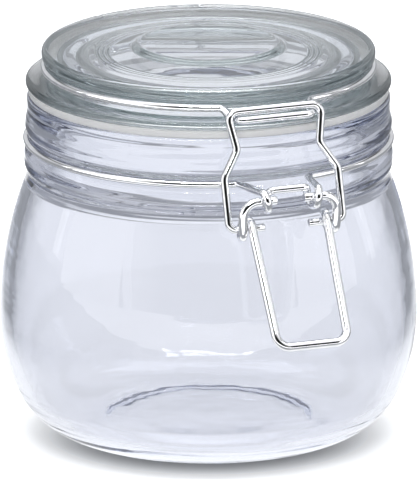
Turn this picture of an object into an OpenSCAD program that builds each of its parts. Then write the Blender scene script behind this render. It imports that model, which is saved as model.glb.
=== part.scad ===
// Bail clamp storage jar: glass jar and lid, sealing ring and a four-wire
// over-centre clamp. Millimetres, +Z up, clamp towards -Y, hinge towards +Y,
// the origin on the ground under the jar's axis. Drawn shut and clamped.

/* [Glass body] */
// Largest outside diameter of the body
body_d = 110; // [109:0.5:112]
// Diameter of the ring the jar stands on
foot_d = 65; // [62:0.5:66]
// Glass thickness of the side wall
wall = 3; // [2.4:0.1:3.4]
// Height of the inside floor in the middle
floor_z = 5.2; // [4.6:0.1:6]
// Diameter of the neck bead under the clamp wire
bead_d = 97.2; // [96.6:0.1:97.6]
// Inside diameter of the mouth
mouth_d = 85; // [83:0.5:85.6]

/* [Lid] */
// Diameter of the top disc
disc_d = 88; // [87.4:0.1:88.6]
// Diameter of the sealing flange
flange_d = 96.4; // [95.6:0.1:96.6]
// Diameter of the raised centre boss at its top
boss_d = 37.6; // [34:0.2:40]
// Height of the boss above the disc
boss_h = 1.2; // [1:0.1:1.6]
// Diameter of the plug that drops into the mouth
plug_d = 79; // [77:0.5:79.5]
// Diameter of the hollow under the lid
recess_d = 67.2; // [64:0.5:68]

/* [Seal] */
// Thickness of the sealing ring
seal_t = 2.16; // [2.1:0.02:2.18]
// Outside diameter of the sealing ring
seal_d = 95; // [93:0.5:95.6]
// Inside diameter of the sealing ring
seal_id = 80; // [79.8:0.1:82]

/* [Wires] */
// Diameter of the neck, lid and bail wires
wire_d = 2.1; // [2:0.05:2.1]
// Diameter of the lever wire
lever_d = 2.4; // [2.3:0.05:2.4]
// Running clearance between a wire eye and the pin in it, on radius
eye_gap = 0.1; // [0.08:0.01:0.12]
// Width between the centres of the two lever legs
lever_w = 20.6; // [20.2:0.1:21]
// Length of the lever handle below its eyes
lever_len = 33.6; // [28:0.2:34]
// Angle of the lever handle out from upright
lever_tilt = 35.7; // [33:0.5:38]
// Width of the bail over its widest part
bail_w = 31.8; // [31.6:0.1:32.6]
// Width of the bail at its waist
waist_w = 23; // [22.6:0.1:24]
// Width of the lid wire's tongue
tongue_w = 20; // [18:0.2:20.6]

/* [Hidden] */
$fn = 96;
Rw = wire_d / 2;
Rl = lever_d / 2;
// how far a straight runs into a bend, and how much fuller a bend is
lap = 0.15;
swell = 0.02;
belly_z = 32;
rim_z = 91.9;
seal_z = rim_z + 0.02;
under_z = rim_z + 2.2;
disc_z = 104.4;
// places in the upright plane through the clamp: [outward from the axis, up]
hook = [48, 99.7];
pivot_b = [56.8, 70.2];
pivot_p = [59.5, 78];
tongue = [49.3, 97.45];
tongue_dip = [45.4, 97.5];
hinge = [56, 88.5];
hinge_foot = [hinge[0], 81.4];
hinge_arm = [53.6, 99];
// the rings that sit in the two grooves: [radius, height]
neck_ring = [47.85, 79.7];
lid_ring = [43.2, 99.2];
// how far to each side of the middle the rings stop, at the clamp and at the hinge
neck_open = [11.6, 19.6];
lid_open = [13.6, 15.6];
// distances to each side of the middle: where eyes start and end, pins end, and bars reach
neck_eye = [7.75, 5.35];
eye_bar = 5;
lever_pin = 3.8;
lever_arm = 13.2;
lever_foot = lever_w / 2 - 0.5;
bail_pin = 6.2;
hook_bar = 13.3;
lid_eye = [13.35, 11.1];
lid_arm = 13.4;
hinge_bar = 17.2;
// distances down the bail from the hook to its waist and to its widest part
waist_s = 10;
wide_s = 17;
bail_len = norm(hook - pivot_b);

// ---- helpers ----
function arc(cx, cy, r, a0, a1, n) =
    [for (i = [0:n]) let (a = a0 + (a1 - a0) * i / n) [cx + r * cos(a), cy + r * sin(a)]];
function unit(v) = v / norm(v);
// a wire corner on the clamp side (sideways, [outward, up], bend radius), and on the hinge side
function at(t, p, R = 2.2) = [t, -p[0], p[1], R];
function back(t, p, R = 2.2) = [t, p[0], p[1], R];
// the same corners mirrored to the other side, in the opposite order
function flip(c) = [for (i = [len(c) - 1:-1:0]) [-c[i][0], c[i][1], c[i][2], c[i][3]]];
function both(c) = concat(c, flip(c));
// [outward, up] at distance s down the bail from the hook
function down_bail(s) = hook + (pivot_b - hook) * s / bail_len;
// corners of one turn of wire round the pivot p: it starts at angle a0, turns through da
// and moves sideways from t0 to t1
function eye(p, R, t0, t1, a0, da, n, side = -1) = let (q = R / cos(da / n / 2))
    [for (i = [0:n - 1]) let (k = (i + 0.5) / n, a = a0 + da * k)
        [t0 + (t1 - t0) * k, side * (p[0] + q * cos(a)), p[1] + q * sin(a), 0.8 * R]];

// one straight piece of wire from a to b
module rod(a, b, r) {
    v = b - a;
    translate(a)
        rotate([0, acos(v[2] / norm(v)), atan2(v[1], v[0])])
            cylinder(r = r, h = norm(v));
}

// the bend at corner p between directions u (in) and w (out), bend radius R
module bend(p, u, w, R, r) {
    ang = acos(u * w);
    k = R * tan(ang / 2);
    n = unit(cross(u, w));
    s = cross(n, u);
    c = p - u * k + s * R;
    multmatrix([[-s[0], u[0], n[0], c[0]],
                [-s[1], u[1], n[1], c[1]],
                [-s[2], u[2], n[2], c[2]],
                [0, 0, 0, 1]])
        rotate_extrude(angle = ang)
            translate([R, 0]) circle(r = r);
}

// wire bent along a list of corners [x, y, z, bend radius]
module bent(path, r) {
    n = len(path);
    pts = [for (q = path) [q[0], q[1], q[2]]];
    cut = [for (i = [0:n - 1]) (i == 0 || i == n - 1) ? 0 :
        path[i][3] * tan(acos(unit(pts[i] - pts[i - 1]) * unit(pts[i + 1] - pts[i])) / 2)];
    for (i = [0:n - 2]) {
        u = unit(pts[i + 1] - pts[i]);
        rod(pts[i] + u * (cut[i] - (i > 0 ? lap : 0)),
            pts[i + 1] - u * (cut[i + 1] - (i < n - 2 ? lap : 0)), r);
    }
    for (i = [1:n - 2])
        bend(pts[i], unit(pts[i] - pts[i - 1]), unit(pts[i + 1] - pts[i]), path[i][3], r + swell);
}

// the two side arcs of a wire ring, open over +-front at the clamp and +-rear at the hinge
module ring_sides(ring, front, rear) {
    a = asin(front / ring[0]);
    b = asin(rear / ring[0]);
    for (m = [0, 1])
        mirror([m, 0, 0])
            translate([0, 0, ring[1]])
                rotate([0, 0, a - 90])
                    rotate_extrude(angle = 180 - a - b)
                        translate([ring[0], 0]) circle(r = Rw + swell);
}

// where a ring arc ends, stepped d along the ring's own direction towards the middle
function ring_end(ring, t, side, d, R = 2) = let (a = asin(t / ring[0]))
    [t - d * cos(a), side * (ring[0] * cos(a) + d * sin(a)), ring[1], R];

// ---- glass ----
module jar_body() {
    R = body_d / 2;
    f = foot_d / 2;
    Rb = bead_d / 2;
    Rm = mouth_d / 2;
    outer = concat(
        [[0, 1.6], [f - 8, 1], [f - 5.6, 0.35], [f - 4.6, 0], [f, 0]],
        arc(31.6, 21, R - 34, -84, -28, 14),
        arc(8, belly_z, R - 8, -25, 0, 8),
        arc(R - 105, belly_z, 105, 2, 21, 12),
        [[47.75, 71.2], [Rb - 0.5, 71.8], [Rb - 0.12, 72.8], [Rb, 74], [Rb, 76.3],
         [Rb - 0.3, 77.3], [Rb - 1, 78.2], [46.75, 78.9], [46.65, 79.7], [46.8, 80.6],
         [47.5, 81.4], [48.15, 82.2], [48.4, 83.2], [48.35, 84.6], [47.95, 86.4],
         [47.8, 88.4], [47.85, 90.2]],
        arc(46.6, rim_z - 1.25, 1.25, 10, 90, 5),
        arc(Rm + 1.3, rim_z - 1.3, 1.3, 90, 180, 5));
    inner = concat(
        [[Rm, 74.8]],
        arc(R - 105, belly_z, 105 - wall, 23, 0, 14),
        arc(8, belly_z, R - 8 - wall, -3, -25, 8),
        arc(31.6, 21, R - 34 - wall, -28, -86, 14),
        [[24, 4.1], [14, floor_z - 0.4], [0, floor_z]]);
    color([0.8, 0.9, 0.92, 0.45]) rotate_extrude() polygon(concat(outer, inner));
}

module lid() {
    Rd = disc_d / 2;
    Rf = flange_d / 2;
    Rp = plug_d / 2;
    Rr = recess_d / 2;
    Rb = boss_d / 2;
    color([0.8, 0.9, 0.92, 0.45]) rotate_extrude() polygon(concat(
        [[0, 97.2], [Rr - 6, 97]],
        arc(Rr - 2, 95, 2, 90, 0, 5),
        [[Rr + 0.2, 90.3], [Rr + 0.8, 89.6], [Rr + 1.6, 89.4], [Rp - 1.6, 89.4],
         [Rp - 0.5, 89.7], [Rp, 90.4], [Rp, under_z]],
        arc(Rf - 1, under_z + 1, 1, -90, 0, 5),
        arc(Rf - 1, under_z + 1.2, 1, 0, 80, 5),
        [[44.4, 96.6], [42.7, 97.2], [42.1, 98], [42, 99.2], [42.15, 100.2],
         [42.7, 100.9], [43.3, 101.3]],
        arc(Rd - 0.7, 102.1, 0.7, -60, 0, 3),
        arc(Rd - 0.6, disc_z - 0.6, 0.6, 0, 90, 5),
        [[Rb + 1.9, disc_z], [Rb + 1.2, disc_z + 0.12], [Rb + 0.5, disc_z + boss_h * 0.75],
         [Rb, disc_z + boss_h * 0.96], [Rb - 0.6, disc_z + boss_h],
         [Rb - 2, disc_z + boss_h - 0.1], [Rb * 0.5, disc_z + boss_h - 0.5],
         [0, disc_z + boss_h - 0.65]]));
}

module gasket() {
    r = 0.5;
    Ro = seal_d / 2;
    Ri = seal_id / 2;
    z1 = seal_z + seal_t;
    color([0.93, 0.93, 0.88]) rotate_extrude() polygon(concat(
        arc(Ro - r, seal_z + r, r, -90, 0, 4), arc(Ro - r, z1 - r, r, 0, 90, 4),
        arc(Ri + r, z1 - r, r, 90, 180, 4), arc(Ri + r, seal_z + r, r, 180, 270, 4)));
}

// ---- wires ----
// round the neck, out to the two lever eyes and the bar between them, and back to the hinge bar
module neck_wire() {
    Re = Rl + eye_gap + Rw;
    color("silver") {
        ring_sides(neck_ring, neck_open[0], neck_open[1]);
        bent(both(concat(
            [ring_end(neck_ring, neck_open[0], -1, -lap), ring_end(neck_ring, neck_open[0], -1, 1.9)],
            eye(pivot_p, Re, neck_eye[0], neck_eye[1], 95, -330, 6),
            [at(eye_bar, pivot_p + (Re + 0.3) * [cos(110), sin(110)], 1.5)])), Rw);
        bent(both([ring_end(neck_ring, neck_open[1], 1, -lap), ring_end(neck_ring, neck_open[1], 1, 2.2),
            back(hinge_bar, hinge_foot, 2.2), back(hinge_bar, hinge, 2)]), Rw);
    }
}

// round the lid under the disc, a flat tongue at the front and two eyes on the hinge bar
module lid_wire() {
    Re = Rw + eye_gap + Rw;
    color("silver") {
        ring_sides(lid_ring, lid_open[0], lid_open[1]);
        bent(both([ring_end(lid_ring, lid_open[0], -1, -lap), ring_end(lid_ring, lid_open[0], -1, 1.6),
            at(tongue_w / 2 + 1.2, tongue_dip, 1.9), at(tongue_w / 2, tongue, 1.9)]), Rw);
        for (m = [0, 1])
            mirror([m, 0, 0])
                bent(concat(
                    [ring_end(lid_ring, lid_open[1], 1, -lap), ring_end(lid_ring, lid_open[1], 1, 1.7),
                     back(lid_arm, hinge_arm, 3)],
                    eye(hinge, Re, lid_eye[0], lid_eye[1], 24.7, -302.7, 6, 1)), Rw);
    }
}

// hooks over the tongue: straight top, waist, wide shoulders, pins turned in at the bottom
module bail() {
    color("silver")
        bent(both([at(bail_pin, pivot_b), at(bail_w / 2, pivot_b, 2),
            at(bail_w / 2, down_bail(wide_s), 3.6), at(waist_w / 2, down_bail(waist_s), 2.6),
            at(hook_bar, hook, 2.5)]), Rw);
}

// pins in the neck wire's eyes, one turn round each bail pin, then the long handle loop
module lever() {
    Re = Rw + eye_gap + Rl;
    low = pivot_b + lever_len * [sin(lever_tilt), -cos(lever_tilt)];
    color("silver")
        bent(both(concat([at(lever_pin, pivot_p), at(lever_arm, pivot_p, 4)],
            eye(pivot_b, Re, lever_arm, lever_w / 2, -2.6, -326, 6),
            [at(lever_foot, low, 3.6)])), Rl);
}

jar_body();
lid();
gasket();
neck_wire();
lid_wire();
bail();
lever();
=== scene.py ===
"""Bail clamp jar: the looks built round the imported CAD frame."""
import math

import bpy
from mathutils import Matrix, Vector, noise


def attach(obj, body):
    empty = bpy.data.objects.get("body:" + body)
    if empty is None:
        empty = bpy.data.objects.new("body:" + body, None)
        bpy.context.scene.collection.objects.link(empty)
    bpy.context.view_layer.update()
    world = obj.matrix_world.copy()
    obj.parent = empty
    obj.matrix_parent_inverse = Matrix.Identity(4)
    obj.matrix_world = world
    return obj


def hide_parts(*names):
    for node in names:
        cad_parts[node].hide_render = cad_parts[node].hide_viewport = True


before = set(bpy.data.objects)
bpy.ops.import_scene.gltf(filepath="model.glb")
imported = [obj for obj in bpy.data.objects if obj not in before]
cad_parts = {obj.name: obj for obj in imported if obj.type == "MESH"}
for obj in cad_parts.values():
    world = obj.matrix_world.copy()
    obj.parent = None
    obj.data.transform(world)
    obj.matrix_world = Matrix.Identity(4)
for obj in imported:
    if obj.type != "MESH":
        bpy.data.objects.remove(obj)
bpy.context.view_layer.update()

MM = 0.001

# ---------------------------------------------------------------- sizes, mm, as in the CAD
BODY_R = 55.0
FOOT_R = 32.5
WALL = 3.0
FLOOR_Z = 5.2
BEAD_R = 48.6
MOUTH_R = 42.5
BELLY_Z = 32
RIM_Z = 91.9
DISC_R = 44.0
FLANGE_R = 48.2
BOSS_R = 18.8
BOSS_H = 1.2
PLUG_R = 39.5
RECESS_R = 33.6
UNDER_Z = RIM_Z + 2.2
DISC_Z = 104.4
SEAL_Z = RIM_Z + 0.02
SEAL_T = 2.16
SEAL_R = 47.5
SEAL_BORE_R = 40.0
WIRE_R = 1.05
LEVER_R = 1.2
EYE_GAP = 0.1
LEVER_LEN = 33.6
LEVER_TILT = math.radians(35.7)
# places in the upright plane through the clamp: (outward from the axis, up)
HOOK = (48.0, 99.7)
PIVOT_B = (56.8, 70.2)
PIVOT_P = (59.5, 78.0)
TONGUE = (49.3, 97.45)
TONGUE_DIP = (45.4, 97.5)
HINGE = (56.0, 88.5)
HINGE_FOOT = (HINGE[0], 81.4)
HINGE_ARM = (53.6, 99.0)
# the rings of wire in the two grooves: (radius, height)
NECK_RING = (47.85, 79.7)
LID_RING = (43.2, 99.2)
# how far to each side of the middle the rings stop, at the clamp and at the hinge
NECK_OPEN = (11.6, 19.6)
LID_OPEN = (13.6, 15.6)
# distances to each side of the middle: where eyes start and end, pins end, and bars reach
NECK_EYE = (7.75, 5.35)
EYE_BAR = 5.0
LEVER_PIN = 3.8
LEVER_EYE = (13.2, 10.3)
LEVER_FOOT = LEVER_EYE[1] - 0.5
BAIL_PIN = 6.2
BAIL_WIDE = 15.9
BAIL_WAIST = 11.5
HOOK_BAR = 13.3
TONGUE_ROOT = 11.2
TONGUE_BAR = 10.0
LID_EYE = (13.35, 11.1)
LID_ARM = 13.4
HINGE_BAR = 17.2
# distances down the bail from the hook to its waist and to its widest part
WAIST_DOWN = 10.0
WIDE_DOWN = 17.0

# ---------------------------------------------------------------- sizes, mm, of the looks alone
DISC_EDGE_R = 1.5
GROOVE_RADII = (26.8, 28.1, 29.4)
GROOVE_HALF = 0.35
GROOVE_DEEP = 0.3
# how much the turned glass wanders, and the radius inside which it eases out towards the axis
INSIDE_WANDER = 0.16
OUTSIDE_WANDER = 0.03
LID_WANDER = 0.04
EASE_R = 20.0
GLASS_SEGMENTS = 256
SEAL_SEGMENTS = 192
# a radius or an angle (in radians) this small counts as none
ON_AXIS = 1e-6
STRAIGHT = 1e-3


# ---------------------------------------------------------------- mesh helpers
def arc(cx, cy, r, a0, a1, steps):
    """Points on an arc, angles in degrees."""
    return [
        (cx + r * math.cos(math.radians(a)), cy + r * math.sin(math.radians(a)))
        for a in (a0 + (a1 - a0) * i / steps for i in range(steps + 1))
    ]


def make_mesh(name, verts, faces, mat, body, slot, node):
    """A smooth piece from millimetres, riding on a body in place of a CAD node."""
    me = bpy.data.meshes.new(name)
    me.from_pydata([Vector(v) * MM for v in verts], [], faces)
    me.validate()
    me.polygons.foreach_set("use_smooth", [True] * len(me.polygons))
    me.materials.append(mat)
    ob = bpy.data.objects.new(name, me)
    bpy.context.collection.objects.link(ob)
    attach(ob, body)
    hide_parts(node)


def relax(profile):
    """Rounds a profile by cutting each of its corners once, ends kept."""
    cut = 0.25
    keep = 1 - cut
    out = [profile[0]]
    for a, b in zip(profile, profile[1:]):
        out.append((a[0] * keep + b[0] * cut, a[1] * keep + b[1] * cut))
        out.append((a[0] * cut + b[0] * keep, a[1] * cut + b[1] * keep))
    out.append(profile[-1])
    return out


def lathe(profile, segments, wobble=None):
    """A turned solid. A profile with its ends on the axis closes there, any other one closes on itself."""
    on_axis = profile[0][0] < ON_AXIS
    verts = []
    faces = []
    rings = []
    for i, (r, z) in enumerate(profile):
        if r < ON_AXIS:
            rings.append([len(verts)])
            verts.append((0, 0, z))
            continue
        ring = []
        for k in range(segments):
            t = 2 * math.pi * k / segments
            wide = r + (wobble(i, r, z, t) if wobble else 0.0)
            ring.append(len(verts))
            verts.append((wide * math.cos(t), wide * math.sin(t), z))
        rings.append(ring)
    pairs = list(zip(rings, rings[1:]))
    if not on_axis:
        pairs.append((rings[-1], rings[0]))
    for a, b in pairs:
        for k in range(segments):
            j = (k + 1) % segments
            if len(a) == 1 and len(b) == 1:
                break
            if len(a) == 1:
                faces.append((a[0], b[j], b[k]))
            elif len(b) == 1:
                faces.append((a[k], a[j], b[0]))
            else:
                faces.append((a[k], a[j], b[j], b[k]))
    return verts, faces


def wander(r, z, t, amount, around, rise, start):
    """Slow unevenness round a turned piece, easing out towards its axis."""
    place = Vector((math.cos(t) * around, math.sin(t) * around, z * rise + start))
    return amount * min(1.0, r / EASE_R) * noise.noise(place)


# ---------------------------------------------------------------- wire helpers
def at(sideways, place, bend_r=2.2):
    """A wire corner on the clamp side: (sideways, outward, up) and its bend radius."""
    return Vector((sideways, -place[0], place[1])), bend_r


def back(sideways, place, bend_r=2.2):
    """A wire corner on the hinge side."""
    return Vector((sideways, place[0], place[1])), bend_r


def both(corners):
    """The corners, then the same ones mirrored to the other side in the opposite order."""
    return corners + [(Vector((-v.x, v.y, v.z)), r) for v, r in reversed(corners)]


def down_bail(distance):
    """(outward, up) at a distance down the bail from the hook."""
    k = distance / math.dist(HOOK, PIVOT_B)
    return tuple(h + (b - h) * k for h, b in zip(HOOK, PIVOT_B))


def eye(pivot, r, sideways, start, turn, side=-1):
    """Corners of one turn of wire round a pivot: from an angle, through a turn, moving sideways."""
    steps = 6
    bend_r = 0.8 * r
    corner_r = r / math.cos(math.radians(turn / steps / 2))
    out = []
    for i in range(steps):
        k = (i + 0.5) / steps
        a = math.radians(start + turn * k)
        across = sideways[0] + (sideways[1] - sideways[0]) * k
        outward = pivot[0] + corner_r * math.cos(a)
        height = pivot[1] + corner_r * math.sin(a)
        out.append((Vector((across, side * outward, height)), bend_r))
    return out


def ring_end(ring, t, side, d):
    """Where a ring stops, t to the side, stepped d along the ring towards the middle."""
    bend_r = 2.0
    a = math.asin(t / ring[0])
    outward = ring[0] * math.cos(a) + d * math.sin(a)
    return Vector((t - d * math.cos(a), side * outward, ring[1])), bend_r


def ring_angle(ring, t):
    """The angle, in degrees, at which a ring lies t to the side of the middle."""
    return math.degrees(math.asin(t / ring[0]))


def ring_arc(ring, a0, a1):
    """Points round a ring from angle a0 to a1, in degrees."""
    steps = 90
    return [Vector((x, y, ring[1])) for x, y in arc(0, 0, ring[0], a0, a1, steps)]


def bent(corners):
    """The centre line through corners, each rounded to its bend radius."""
    degrees_a_step = 7.0
    same_place = 0.02
    pts = [corners[0][0]]
    for (a, _), (p, r), (b, _) in zip(corners, corners[1:], corners[2:]):
        into = (p - a).normalized()
        out_of = (b - p).normalized()
        angle = into.angle(out_of)
        if angle < STRAIGHT:
            pts.append(p)
            continue
        axis = into.cross(out_of).normalized()
        inward = axis.cross(into)
        centre = p - into * r * math.tan(angle / 2) + inward * r
        steps = max(3, int(math.degrees(angle) / degrees_a_step))
        for i in range(steps + 1):
            f = angle * i / steps
            pts.append(centre - inward * r * math.cos(f) + into * r * math.sin(f))
    pts.append(corners[-1][0])
    return join(pts, same_place)


def join(pts, gap):
    """The points without those that lie closer than the gap to the one before."""
    out = [pts[0]]
    for p in pts[1:]:
        if (p - out[-1]).length > gap:
            out.append(p)
    return out


def spaced(pts, gap=1.6):
    """Long straights cut into pieces, so that the sweep's rings stay even."""
    out = [pts[0]]
    for p in pts[1:]:
        a = out[-1]
        pieces = max(1, int((p - a).length / gap))
        out += [a.lerp(p, (i + 1) / pieces) for i in range(pieces)]
    return out


def sweep(pts, radius, closed):
    """A round wire along pts. An open wire's two ends are slightly rounded and closed."""
    sides = 20
    count = len(pts)
    along_wire = []
    for i in range(count):
        before = pts[(i - 1) % count] if closed or i > 0 else pts[i]
        after = pts[(i + 1) % count] if closed or i < count - 1 else pts[i]
        along_wire.append((after - before).normalized())
    side = along_wire[0].orthogonal().normalized()
    frames = [side]
    for direction in along_wire[1:]:
        side = side - direction * side.dot(direction)
        side.normalize()
        frames.append(side)
    twist = 0.0
    if closed:
        first = along_wire[0]
        end = frames[-1] - first * frames[-1].dot(first)
        end.normalize()
        twist = math.atan2(end.cross(frames[0]).dot(first), end.dot(frames[0]))
    rings = [(pts[i], along_wire[i], frames[i], twist * i / count, radius) for i in range(count)]
    if not closed:
        rings = rounded_end(rings, 1)[::-1]
        rings = rounded_end(rings, -1)[::-1]
    verts = []
    for place, direction, frame_side, turn, r in rings:
        up_side = direction.cross(frame_side)
        for k in range(sides):
            a = 2 * math.pi * k / sides + turn
            verts.append(place + (frame_side * math.cos(a) + up_side * math.sin(a)) * r)
    count = len(rings)
    faces = []
    for i in range(count if closed else count - 1):
        j = (i + 1) % count
        for k in range(sides):
            n = (k + 1) % sides
            faces.append((i * sides + k, i * sides + n, j * sides + n, j * sides + k))
    if not closed:
        for start, place, order in ((0, rings[0][0], -1), ((count - 1) * sides, rings[-1][0], 1)):
            verts.append(place)
            for k in range(sides):
                n = (k + 1) % sides
                cap = (start + k, start + n, len(verts) - 1)
                faces.append(cap[::order])
    return verts, faces


def rounded_end(rings, forward):
    """The rings with two smaller ones before the first, which moves in to make room."""
    room = 0.22
    steps = [(0.0, 0.8), (0.3, 0.93), (1.0, 1.0)]
    place, direction, side, turn, r = rings[0]
    inward = direction * forward * room * r
    return [(place + inward * k, direction, side, turn, r * size) for k, size in steps] + rings[1:]


# ---------------------------------------------------------------- node helpers
def new_material(name):
    mat = bpy.data.materials.new(name)
    mat.use_nodes = True
    nt = mat.node_tree
    return mat, nt, nt.nodes["Principled BSDF"]


def add(nt, kind, **values):
    """A new node, with its sockets or its own settings given by name."""
    node = nt.nodes.new(kind)
    for key, value in values.items():
        if key in node.inputs:
            node.inputs[key].default_value = value
        else:
            setattr(node, key, value)
    return node


def along(nt, source, direction):
    """How far a point lies in one direction."""
    dot = add(nt, "ShaderNodeVectorMath", operation="DOT_PRODUCT")
    nt.links.new(source, dot.inputs[0])
    dot.inputs[1].default_value = direction
    return dot.outputs["Value"]


def maths(nt, operation, a, b=0.0):
    """One sum on two values, each a number or an output."""
    node = add(nt, "ShaderNodeMath", operation=operation)
    for socket, value in zip(node.inputs, (a, b)):
        if isinstance(value, (int, float)):
            socket.default_value = value
        else:
            nt.links.new(value, socket)
    return node.outputs["Value"]


def spread(nt, value, low, high, to_low=0.0, to_high=1.0, kind="LINEAR"):
    """A value between low and high, spread over another range."""
    node = add(nt, "ShaderNodeMapRange", interpolation_type=kind)
    nt.links.new(value, node.inputs["Value"])
    for key, number in (("From Min", low), ("From Max", high), ("To Min", to_low), ("To Max", to_high)):
        node.inputs[key].default_value = number
    return node.outputs["Result"]


def smooth(nt, value, low, high, to_low=0.0, to_high=1.0):
    """The same with soft ends."""
    return spread(nt, value, low, high, to_low, to_high, "SMOOTHSTEP")


def cloudy(nt, place, scale, detail):
    """A noise value in object space."""
    node = add(nt, "ShaderNodeTexNoise", Scale=scale, Detail=detail)
    nt.links.new(place, node.inputs["Vector"])
    return node.outputs["Fac"]


def tones(nt, value, low, low_rgb, high, high_rgb):
    """Two colours, with the change between them from low to high."""
    node = add(nt, "ShaderNodeValToRGB")
    ends = node.color_ramp.elements
    ends[0].position = low
    ends[0].color = (*low_rgb, 1)
    ends[1].position = high
    ends[1].color = (*high_rgb, 1)
    nt.links.new(value, node.inputs["Fac"])
    return node.outputs["Color"]


def bumped(nt, height, strength, distance):
    """A bump node, whose Normal input is left free for another bump below it."""
    node = add(nt, "ShaderNodeBump", Strength=strength, Distance=distance)
    nt.links.new(height, node.inputs["Height"])
    return node


# ---------------------------------------------------------------- materials, with lengths in metres
def glass_material(name, tint, deep_tint, depth, waves, streaks, band):
    """Clear glass: a base tint, a volume tint, slow waves, and level streaks.

    The streaks lie inside a band of heights, more weakly round the heel, and hardly anywhere else.
    """
    band_edge = 0.003
    heel = (0.004, 0.022)
    mat, nt, p = new_material(name)
    p.inputs["Base Color"].default_value = (*tint, 1)
    p.inputs["Transmission Weight"].default_value = 1.0
    p.inputs["IOR"].default_value = 1.52
    place = add(nt, "ShaderNodeTexCoord").outputs["Object"]
    wave = cloudy(nt, place, scale=55.0, detail=2.0)
    fine = cloudy(nt, place, scale=420.0, detail=3.0)
    nt.links.new(spread(nt, fine, 0.4, 0.8, 0.0, 0.035), p.inputs["Roughness"])
    flat = add(nt, "ShaderNodeMapping", Scale=(9.0, 9.0, 250.0))
    nt.links.new(place, flat.inputs["Vector"])
    level = cloudy(nt, flat.outputs["Vector"], scale=1.0, detail=1.5)
    height = along(nt, place, (0, 0, 1))
    rise = smooth(nt, height, band[0], band[0] + band_edge)
    fall = smooth(nt, height, band[1], band[1] + band_edge, 1, 0)
    at_heel = smooth(nt, height, heel[0], heel[1], 0.6, 0.04)
    amount = maths(nt, "MAXIMUM", maths(nt, "MULTIPLY", rise, fall), at_heel)
    slow = bumped(nt, wave, strength=waves, distance=0.0006)
    lines = bumped(nt, maths(nt, "MULTIPLY", level, amount), strength=1.0, distance=streaks)
    nt.links.new(slow.outputs["Normal"], lines.inputs["Normal"])
    nt.links.new(lines.outputs["Normal"], p.inputs["Normal"])
    absorb = add(nt, "ShaderNodeVolumeAbsorption", Color=(*deep_tint, 1), Density=depth)
    nt.links.new(absorb.outputs["Volume"], nt.nodes["Material Output"].inputs["Volume"])
    return mat


def steel_material(name):
    """Bright drawn wire: broad changes of tone and a fine grain in gloss and height."""
    mat, nt, p = new_material(name)
    p.inputs["Metallic"].default_value = 1.0
    place = add(nt, "ShaderNodeTexCoord").outputs["Object"]
    broad = cloudy(nt, place, scale=260.0, detail=4.0)
    fine = cloudy(nt, place, scale=2600.0, detail=4.0)
    tone = tones(nt, broad, 0.35, (0.84, 0.85, 0.87), 0.65, (0.93, 0.93, 0.94))
    nt.links.new(tone, p.inputs["Base Color"])
    nt.links.new(spread(nt, fine, 0, 1, 0.03, 0.11), p.inputs["Roughness"])
    scratched = bumped(nt, fine, strength=0.12, distance=0.00003)
    nt.links.new(scratched.outputs["Normal"], p.inputs["Normal"])
    return mat


def seal_material(name):
    """Translucent white silicone, slightly cloudy and matt."""
    mat, nt, p = new_material(name)
    p.inputs["Subsurface Weight"].default_value = 0.35
    p.inputs["Subsurface Radius"].default_value = (0.004, 0.004, 0.004)
    p.inputs["Subsurface Scale"].default_value = 1.0
    p.inputs["Transmission Weight"].default_value = 0.1
    p.inputs["IOR"].default_value = 1.41
    place = add(nt, "ShaderNodeTexCoord").outputs["Object"]
    cloud = cloudy(nt, place, scale=180.0, detail=3.0)
    grain = cloudy(nt, place, scale=1800.0, detail=3.0)
    tone = tones(nt, cloud, 0.3, (0.90, 0.90, 0.90), 0.7, (0.96, 0.96, 0.955))
    nt.links.new(tone, p.inputs["Base Color"])
    nt.links.new(spread(nt, grain, 0, 1, 0.3, 0.5), p.inputs["Roughness"])
    grainy = bumped(nt, grain, strength=0.2, distance=0.0001)
    nt.links.new(grainy.outputs["Normal"], p.inputs["Normal"])
    return mat


# ---------------------------------------------------------------- glass jar
def jar_outline():
    """The jar's section, (radius, height): the outside from foot to rim, and the inside back down."""
    shoulder_r = 105.0
    shoulder_x = BODY_R - shoulder_r
    belly_x = 8.0
    belly_r = BODY_R - belly_x
    heel = (31.6, 21.0)
    heel_r = 21.0
    outer_lip = 1.25
    inner_lip = 1.3
    outer = (
        [(0, 1.6), (FOOT_R - 8, 1.0), (FOOT_R - 5.6, 0.35), (FOOT_R - 4.6, 0.02), (FOOT_R, 0.0)]
        + arc(*heel, heel_r, -84, -27, 24)
        + arc(belly_x, BELLY_Z, belly_r, -24, 0, 14)
        + arc(shoulder_x, BELLY_Z, shoulder_r, 2, 20.6, 20)
        + [(47.75, 71.0), (BEAD_R - 0.5, 71.8), (BEAD_R - 0.12, 72.8), (BEAD_R, 74), (BEAD_R, 76.3),
           (BEAD_R - 0.3, 77.3), (BEAD_R - 1, 78.2), (46.75, 78.9), (46.65, 79.7), (46.8, 80.6),
           (47.5, 81.4), (48.15, 82.2), (48.4, 83.2), (48.35, 84.6), (47.95, 86.4),
           (47.8, 88.4), (47.85, 90.2)]
        + arc(46.6, RIM_Z - outer_lip, outer_lip, 10, 90, 6)
        + arc(MOUTH_R + inner_lip, RIM_Z - inner_lip, inner_lip, 90, 180, 6)
    )
    inner = (
        [(MOUTH_R, 86.0), (MOUTH_R, 80.0), (MOUTH_R, 74.8)]
        + arc(shoulder_x, BELLY_Z, shoulder_r - WALL, 23, 0, 24)
        + arc(belly_x, BELLY_Z, belly_r - WALL, -3, -25, 12)
        + arc(*heel, heel_r - WALL, -28, -86, 24)
        + [(24, FLOOR_Z - 1.1), (14, FLOOR_Z - 0.4), (0, FLOOR_Z)]
    )
    return outer, inner


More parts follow.
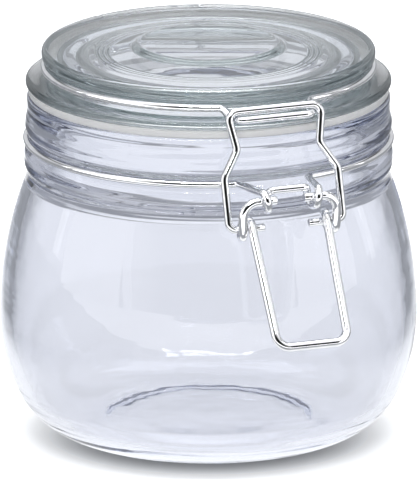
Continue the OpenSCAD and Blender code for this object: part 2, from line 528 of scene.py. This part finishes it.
def jar_glass(glass):
    """The mould side is nearly true, and the blown inside wanders."""
    outer, inner = jar_outline()
    outside_points = len(relax(outer))

    def wobble(i, r, z, t):
        if i > outside_points:
            return wander(r, z, t, INSIDE_WANDER, around=1.3, rise=0.045, start=7)
        return wander(r, z, t, OUTSIDE_WANDER, around=1.3, rise=0.045, start=0)

    turned = lathe(relax(outer + inner), GLASS_SEGMENTS, wobble)
    make_mesh("jar_glass", *turned, glass, "jar", "glass", "jar_body")


# ---------------------------------------------------------------- glass lid and its seal
def lid_outline():
    """The lid's section from the middle underneath, round its edges, to the middle of the boss."""
    ceiling_z = 97.0
    plug_z = 89.4
    grooves = [
        (r + dr, ceiling_z + dz)
        for r in GROOVE_RADII
        for dr, dz in ((-GROOVE_HALF, 0), (0, GROOVE_DEEP), (GROOVE_HALF, 0))
    ]
    boss_z = DISC_Z + BOSS_H
    return (
        [(0, ceiling_z + 0.2), (RECESS_R - 8, ceiling_z)]
        + grooves
        + arc(RECESS_R - 2, ceiling_z - 2, 2, 90, 0, 6)
        + [(RECESS_R + 0.2, plug_z + 0.9), (RECESS_R + 0.8, plug_z + 0.2), (RECESS_R + 1.6, plug_z),
           (PLUG_R - 1.6, plug_z), (PLUG_R - 0.5, plug_z + 0.3), (PLUG_R, plug_z + 1),
           (PLUG_R, 92.0), (PLUG_R, UNDER_Z), (PLUG_R + 0.4, UNDER_Z)]
        + arc(FLANGE_R - 1, UNDER_Z + 1, 1, -90, 0, 6)
        + arc(FLANGE_R - 1, UNDER_Z + 1.2, 1, 0, 80, 6)
        + [(44.4, 96.6), (42.7, 97.2), (42.1, 98), (42, 99.2), (42.15, 100.2), (42.7, 100.9), (43.3, 101.3)]
        + arc(DISC_R - 0.7, 102.1, 0.7, -60, 0, 4)
        + arc(DISC_R - DISC_EDGE_R, DISC_Z - DISC_EDGE_R, DISC_EDGE_R, 0, 90, 10)
        + [(34, DISC_Z), (BOSS_R + 2.4, DISC_Z), (BOSS_R + 1.9, DISC_Z), (BOSS_R + 1.2, DISC_Z + 0.12),
           (BOSS_R + 0.5, DISC_Z + BOSS_H * 0.75), (BOSS_R, DISC_Z + BOSS_H * 0.96),
           (BOSS_R - 0.6, boss_z), (BOSS_R - 2, boss_z - 0.1), (BOSS_R * 0.5, boss_z - 0.5),
           (0, boss_z - 0.65)]
    )


def lid_glass(glass):
    """Pressed glass, which wanders only a little."""

    def wobble(i, r, z, t):
        return wander(r, z, t, LID_WANDER, around=1.1, rise=0.08, start=3)

    turned = lathe(relax(lid_outline()), GLASS_SEGMENTS, wobble)
    make_mesh("lid_glass", *turned, glass, "lid_group", "lid_glass", "lid")


def seal_ring(silicone):
    """A flat ring with rounded corners between the lid's flange and the jar's rim."""
    corner = 0.5
    middle = 44.0
    low = SEAL_Z + corner
    high = SEAL_Z + SEAL_T - corner
    outline = (
        arc(SEAL_R - corner, low, corner, -90, 0, 4)
        + arc(SEAL_R - corner, high, corner, 0, 90, 4)
        + [(middle, SEAL_Z + SEAL_T)]
        + arc(SEAL_BORE_R + corner, high, corner, 90, 180, 4)
        + arc(SEAL_BORE_R + corner, low, corner, 180, 270, 4)
        + [(middle, SEAL_Z)]
    )
    make_mesh("seal_ring", *lathe(outline, SEAL_SEGMENTS), silicone, "lid_group", "seal", "gasket")


# ---------------------------------------------------------------- wires
def wire(name, lines, radius, steel, body, node, closed=False):
    """One wire along centre lines that follow one another."""
    touch = 0.05
    pts = join([p for line in lines for p in line], touch)
    if (pts[0] - pts[-1]).length < touch:
        pts.pop()
    make_mesh(name, *sweep(spaced(pts), radius, closed), steel, body, "wire", node)


def neck_wire(steel):
    """One closed loop: front eyes and bar, one side of the neck, hinge bar, the other side."""
    eye_r = LEVER_R + EYE_GAP + WIRE_R
    bar_r = eye_r + 0.3
    bar_angle = math.radians(110)
    bar = (PIVOT_P[0] + bar_r * math.cos(bar_angle), PIVOT_P[1] + bar_r * math.sin(bar_angle))
    stop, rear_stop = NECK_OPEN
    front = bent(both(
        [ring_end(NECK_RING, stop, -1, 0), ring_end(NECK_RING, stop, -1, 1.9)]
        + eye(PIVOT_P, eye_r, NECK_EYE, 95, -330)
        + [at(EYE_BAR, bar, 1.5)]
    ))
    rear = bent(both([
        ring_end(NECK_RING, rear_stop, 1, 0), ring_end(NECK_RING, rear_stop, 1, 2.2),
        back(HINGE_BAR, HINGE_FOOT), back(HINGE_BAR, HINGE, 2),
    ]))
    a = ring_angle(NECK_RING, stop)
    b = ring_angle(NECK_RING, rear_stop)
    one_side = ring_arc(NECK_RING, a - 90, 90 - b)
    other_side = ring_arc(NECK_RING, 90 + b, 270 - a)
    lines = [front[::-1], one_side, rear, other_side]
    wire("neck_wire_loop", lines, WIRE_R, steel, "jar", "neck_wire", closed=True)


def lid_wire(steel):
    """From one rear eye round the lid, over the tongue and back to the other eye."""
    eye_r = WIRE_R + EYE_GAP + WIRE_R
    stop, rear_stop = LID_OPEN
    tongue = bent(both([
        ring_end(LID_RING, stop, -1, 0), ring_end(LID_RING, stop, -1, 1.6),
        at(TONGUE_ROOT, TONGUE_DIP, 1.9), at(TONGUE_BAR, TONGUE, 1.9),
    ]))
    leg = bent(
        [ring_end(LID_RING, rear_stop, 1, 0), ring_end(LID_RING, rear_stop, 1, 1.7)]
        + [back(LID_ARM, HINGE_ARM, 3)]
        + eye(HINGE, eye_r, LID_EYE, 24.7, -302.7, 1)
    )
    other_leg = [Vector((-p.x, p.y, p.z)) for p in leg]
    a = ring_angle(LID_RING, stop)
    b = ring_angle(LID_RING, rear_stop)
    one_side = ring_arc(LID_RING, 90 - b, a - 90)
    other_side = ring_arc(LID_RING, 270 - a, 90 + b)
    lines = [leg[::-1], one_side, tongue, other_side, other_leg]
    wire("lid_wire_loop", lines, WIRE_R, steel, "lid_group", "lid_wire")


def bail(steel):
    """Pins at the bottom, wide shoulders, a waist, and the bar that hooks over the tongue."""
    line = bent(both([
        at(BAIL_PIN, PIVOT_B), at(BAIL_WIDE, PIVOT_B, 2), at(BAIL_WIDE, down_bail(WIDE_DOWN), 3.6),
        at(BAIL_WAIST, down_bail(WAIST_DOWN), 2.6), at(HOOK_BAR, HOOK, 2.5),
    ]))
    wire("bail_wire", [line], WIRE_R, steel, "bail_group", "bail")


def lever(steel):
    """Pins in the neck wire's eyes, one turn round each bail pin, then the long handle."""
    eye_r = WIRE_R + EYE_GAP + LEVER_R
    low = (PIVOT_B[0] + LEVER_LEN * math.sin(LEVER_TILT), PIVOT_B[1] - LEVER_LEN * math.cos(LEVER_TILT))
    line = bent(both(
        [at(LEVER_PIN, PIVOT_P), at(LEVER_EYE[0], PIVOT_P, 4)]
        + eye(PIVOT_B, eye_r, LEVER_EYE, -2.6, -326)
        + [at(LEVER_FOOT, low, 3.6)]
    ))
    wire("lever_wire", [line], LEVER_R, steel, "lever_group", "lever")


# ---------------------------------------------------------------- studio, in metres
AZIMUTH = math.radians(-21)
ELEVATION = math.radians(15.6)
DISTANCE = 6.0
# height seen by the camera at the jar's axis
VIEW_HEIGHT = 0.129288
SENSOR_HEIGHT = 24
TARGET = Vector((0, 0, 0.05))
LIT_MIDDLE = Vector((0, 0, 0.06))
# directions: level towards the camera, level to its right, from the jar to the lens, and the lens's own up
TOWARDS = Vector((math.sin(AZIMUTH), -math.cos(AZIMUTH), 0))
SIDEWAYS = Vector((math.cos(AZIMUTH), math.sin(AZIMUTH), 0))
UP = Vector((0, 0, 1))
LENS = TOWARDS * math.cos(ELEVATION) + UP * math.sin(ELEVATION)
LENS_UP = LENS.cross(SIDEWAYS).normalized()
# where bars that lie level across the clamp mirror the lens
BAR_VIEW = Vector((-LENS.x, LENS.y, LENS.z))
FLOOR_HALF = 6.0
CARD_LIGHT = 0.88


def floor_material(name, painted_shade, albedo, glow, outside):
    """A white strip under and behind the jar, at a level of its own outside.

    The contact amount paints a shadow round the foot: how much darker the floor is there. A negative amount
    paints light there instead, so the floor is brighter under the jar.
    """
    side_edge = (0.070, 0.130)
    front_edge = (0.070, 0.115)
    back_edge = (-0.55, -0.40)
    contact_edge = (0.033, 0.054)
    contact_front = (-0.04, 0.03)
    contact_behind = 0.25
    mat, nt, p = new_material(name)
    place = add(nt, "ShaderNodeNewGeometry").outputs["Position"]
    across = maths(nt, "ABSOLUTE", along(nt, place, SIDEWAYS))
    near = along(nt, place, TOWARDS)
    strip = maths(nt, "MULTIPLY", smooth(nt, across, *side_edge, 1, 0), smooth(nt, near, *front_edge, 1, 0))
    strip = maths(nt, "MULTIPLY", strip, smooth(nt, near, *back_edge, 0, 1))
    x_squared = maths(nt, "POWER", along(nt, place, (1, 0, 0)), 2.0)
    y_squared = maths(nt, "POWER", along(nt, place, (0, 1, 0)), 2.0)
    from_axis = maths(nt, "SQRT", maths(nt, "ADD", x_squared, y_squared))
    # painted contact shadow: full out to just past the foot, fading away further out, and painted more
    # strongly on the camera's side; a negative amount paints light the same way
    ring = smooth(nt, from_axis, *contact_edge, painted_shade, 0)
    front_more = smooth(nt, near, *contact_front, contact_behind, 1.0)
    shade = maths(nt, "SUBTRACT", 1.0, maths(nt, "MULTIPLY", ring, front_more))
    brightness = maths(nt, "ADD", maths(nt, "MULTIPLY", strip, 1 - outside), outside)
    level = maths(nt, "MULTIPLY", brightness, shade)
    # the darker the floor, the more its colour turns towards a faint blue, which colours the painted shadow
    tint = add(nt, "ShaderNodeMixRGB")
    tint.inputs["Color1"].default_value = (0.0, 0.012, 0.035, 1)
    tint.inputs["Color2"].default_value = (albedo * 0.99, albedo, albedo * 1.01, 1)
    nt.links.new(level, tint.inputs["Fac"])
    nt.links.new(tint.outputs["Color"], p.inputs["Base Color"])
    p.inputs["Roughness"].default_value = 0.7
    p.inputs["Specular IOR Level"].default_value = 0.1
    p.inputs["Emission Color"].default_value = (0.98, 0.99, 1.0, 1)
    nt.links.new(maths(nt, "MULTIPLY", level, glow), p.inputs["Emission Strength"])
    return mat


def card_material(name, grey, light=0.0):
    """A matt grey, which may shine evenly."""
    mat, nt, p = new_material(name)
    p.inputs["Base Color"].default_value = (grey, grey, grey, 1)
    p.inputs["Roughness"].default_value = 0.9
    p.inputs["Specular IOR Level"].default_value = 0.0
    p.inputs["Emission Color"].default_value = (grey, grey, grey, 1)
    p.inputs["Emission Strength"].default_value = light
    return mat


def faded_material(name, half_across, half_up):
    """Black round the lens, fading to the level of the white cards towards the card's edges."""
    fade_start = 0.4
    mat, nt, p = new_material(name)
    place = add(nt, "ShaderNodeNewGeometry").outputs["Position"]
    across = maths(nt, "ABSOLUTE", along(nt, place, SIDEWAYS))
    up = maths(nt, "ABSOLUTE", along(nt, place, LENS_UP))
    side_fade = smooth(nt, across, fade_start * half_across, half_across)
    top_fade = smooth(nt, up, fade_start * half_up, half_up)
    p.inputs["Base Color"].default_value = (0.01, 0.01, 0.01, 1)
    p.inputs["Roughness"].default_value = 0.9
    p.inputs["Specular IOR Level"].default_value = 0.0
    p.inputs["Emission Color"].default_value = (1, 1, 1, 1)
    shine = maths(nt, "MULTIPLY", maths(nt, "MAXIMUM", side_fade, top_fade), CARD_LIGHT)
    nt.links.new(shine, p.inputs["Emission Strength"])
    return mat


def card(name, mat, centre, across, up, seen_by=("glossy",)):
    """A flat card, given by its middle and its two half sides, that only some rays see."""
    me = bpy.data.meshes.new(name)
    corners = [centre - across - up, centre + across - up, centre + across + up, centre - across + up]
    me.from_pydata(corners, [], [(0, 1, 2, 3)])
    me.materials.append(mat)
    ob = bpy.data.objects.new(name, me)
    bpy.context.collection.objects.link(ob)
    for ray in ("camera", "diffuse", "glossy", "transmission"):
        setattr(ob, "visible_" + ray, ray in seen_by)
    ob.visible_shadow = False


def floors():
    """The floor the camera sees has a painted contact shadow; what the glass and the wires see has no
    painted shadow, but a painted glow under the jar.
    """
    sides = (Vector((FLOOR_HALF, 0, 0)), Vector((0, FLOOR_HALF, 0)))
    # painted shadow round the foot on the floor the camera sees, painted light under the jar on the one the
    # glass and wires see
    white = floor_material("floor_painted_shadow", painted_shade=0.82, albedo=0.94, glow=0.62, outside=1.0)
    clean = floor_material("floor_painted_glow", painted_shade=-0.30, albedo=0.25, glow=0.88, outside=0.30)
    card("floor", white, UP * -0.0002, *sides, seen_by=("camera",))
    card("floor_painted_glow", clean, UP * -0.0004, *sides, seen_by=("diffuse", "glossy", "transmission"))


def cards():
    """Seen by reflections alone: dark ones for the wires' thin dark cores, white ones for the rest."""
    white = card_material("reflector_white", 1, CARD_LIGHT)
    black = card_material("card_black", 0.01)
    faded_half = (0.94, 0.79)
    faded = faded_material("card_faded", *faded_half)
    card("lens_card", faded, LENS, SIDEWAYS * faded_half[0], LENS_UP * faded_half[1])
    card("bar_card", black, BAR_VIEW, SIDEWAYS * 0.10, LENS_UP * 0.34)
    card("front_card", white, LENS * 1.4, SIDEWAYS * 1.6, LENS_UP * 1.2)
    card("top_card", white, TOWARDS * 0.5 + UP * 1.3, SIDEWAYS * 1.2, TOWARDS * 0.7)
    for side in (-1, 1):
        card("side_card", white, SIDEWAYS * side * 1.2 + TOWARDS * 0.5 + UP * 0.4, UP * 0.7, TOWARDS * 0.5)
    card("floor_card", white, TOWARDS * 0.75 + UP * 0.002, SIDEWAYS * 1.2, TOWARDS * 0.55)


def surroundings():
    """Grey levels that change with height, dark round the horizon, and dimmer on the camera's side."""
    lowest = (0.75, 0.76, 0.79, 1)
    highest = (0.96, 0.98, 1.0, 1)
    between = (
        (0.30, 0.62), (0.38, 0.72), (0.43, 0.10), (0.52, 0.10), (0.57, 0.80), (0.72, 0.50), (0.86, 0.90),
    )
    world = bpy.data.worlds.new("studio")
    bpy.context.scene.world = world
    world.use_nodes = True
    nt = world.node_tree
    background = nt.nodes["Background"]
    aim = add(nt, "ShaderNodeTexCoord").outputs["Generated"]
    sky = add(nt, "ShaderNodeValToRGB")
    nt.links.new(along(nt, aim, UP), sky.inputs["Fac"])
    levels = sky.color_ramp.elements
    levels[0].position = 0.0
    levels[0].color = lowest
    levels[1].position = 1.0
    levels[1].color = highest
    for height, grey in between:
        levels.new(height).color = (grey, grey * 1.015, grey * 1.05, 1)
    nt.links.new(sky.outputs["Color"], background.inputs["Color"])
    behind = along(nt, aim, -TOWARDS)
    nt.links.new(smooth(nt, behind, -0.6, 0.7, 0.45, 1.0), background.inputs["Strength"])


def softbox(name, place, size, watts):
    """A flat light aimed at the middle of the jar."""
    light = bpy.data.lights.new(name, "AREA")
    light.shape = "RECTANGLE"
    light.size = size[0]
    light.size_y = size[1]
    light.energy = watts
    ob = bpy.data.objects.new(name, light)
    ob.location = place
    ob.rotation_euler = (LIT_MIDDLE - place).to_track_quat("-Z", "Y").to_euler()
    bpy.context.collection.objects.link(ob)
    return ob


def lights():
    """Two faint strips, one light overhead, two thin ones for glints, and a fill no reflection shows."""
    softbox("strip_left", SIDEWAYS * -0.85 + TOWARDS * -0.10 + UP * 0.45, size=(0.10, 0.8), watts=0.25)
    softbox("strip_right", SIDEWAYS * 0.85 + TOWARDS * -0.25 + UP * 0.40, size=(0.08, 0.8), watts=0.2)
    softbox("overhead", TOWARDS * -0.35 + UP * 0.9, size=(0.9, 0.5), watts=3.0)
    softbox("glint_high", TOWARDS * 0.25 + UP * 0.9, size=(0.7, 0.03), watts=1.8)
    softbox("glint_front", TOWARDS * 0.75 + UP * 0.75, size=(0.5, 0.02), watts=0.9)
    fill = softbox("front_fill", TOWARDS * 2.0 + UP * 0.35, size=(1.0, 0.3), watts=14.0)
    fill.visible_glossy = False
    fill.visible_transmission = False


def camera():
    """A very long lens, a little to the left of the clamp and a little above the jar."""
    data = bpy.data.cameras.new("camera")
    data.sensor_fit = "VERTICAL"
    data.sensor_height = SENSOR_HEIGHT
    data.lens = SENSOR_HEIGHT * DISTANCE / VIEW_HEIGHT
    data.clip_end = 50
    ob = bpy.data.objects.new("camera", data)
    ob.location = TARGET + LENS * DISTANCE
    ob.rotation_euler = (-LENS).to_track_quat("-Z", "Y").to_euler()
    bpy.context.collection.objects.link(ob)
    bpy.context.scene.camera = ob


# ---------------------------------------------------------------- the jar and its stage
steel = steel_material("wire_steel")
jar_glass(glass_material(
    "jar_glass", tint=(0.895, 0.900, 0.930), deep_tint=(0.25, 0.35, 0.60), depth=20.0,
    waves=0.25, streaks=0.0012, band=(0.068, 0.2)))
lid_glass(glass_material(
    "lid_glass", tint=(0.975, 0.982, 0.988), deep_tint=(0.40, 0.50, 0.52), depth=16.0,
    waves=0.06, streaks=0.0002, band=(0.092, 0.0965)))
seal_ring(seal_material("seal_silicone"))
neck_wire(steel)
lid_wire(steel)
bail(steel)
lever(steel)

floors()
cards()
surroundings()
lights()
camera()

scene = bpy.context.scene
scene.view_settings.view_transform = "Standard"
# light has to get out again after many turns inside the lid's edge
scene.cycles.max_bounces = 64
scene.cycles.transmission_bounces = 64
scene.cycles.glossy_bounces = 64
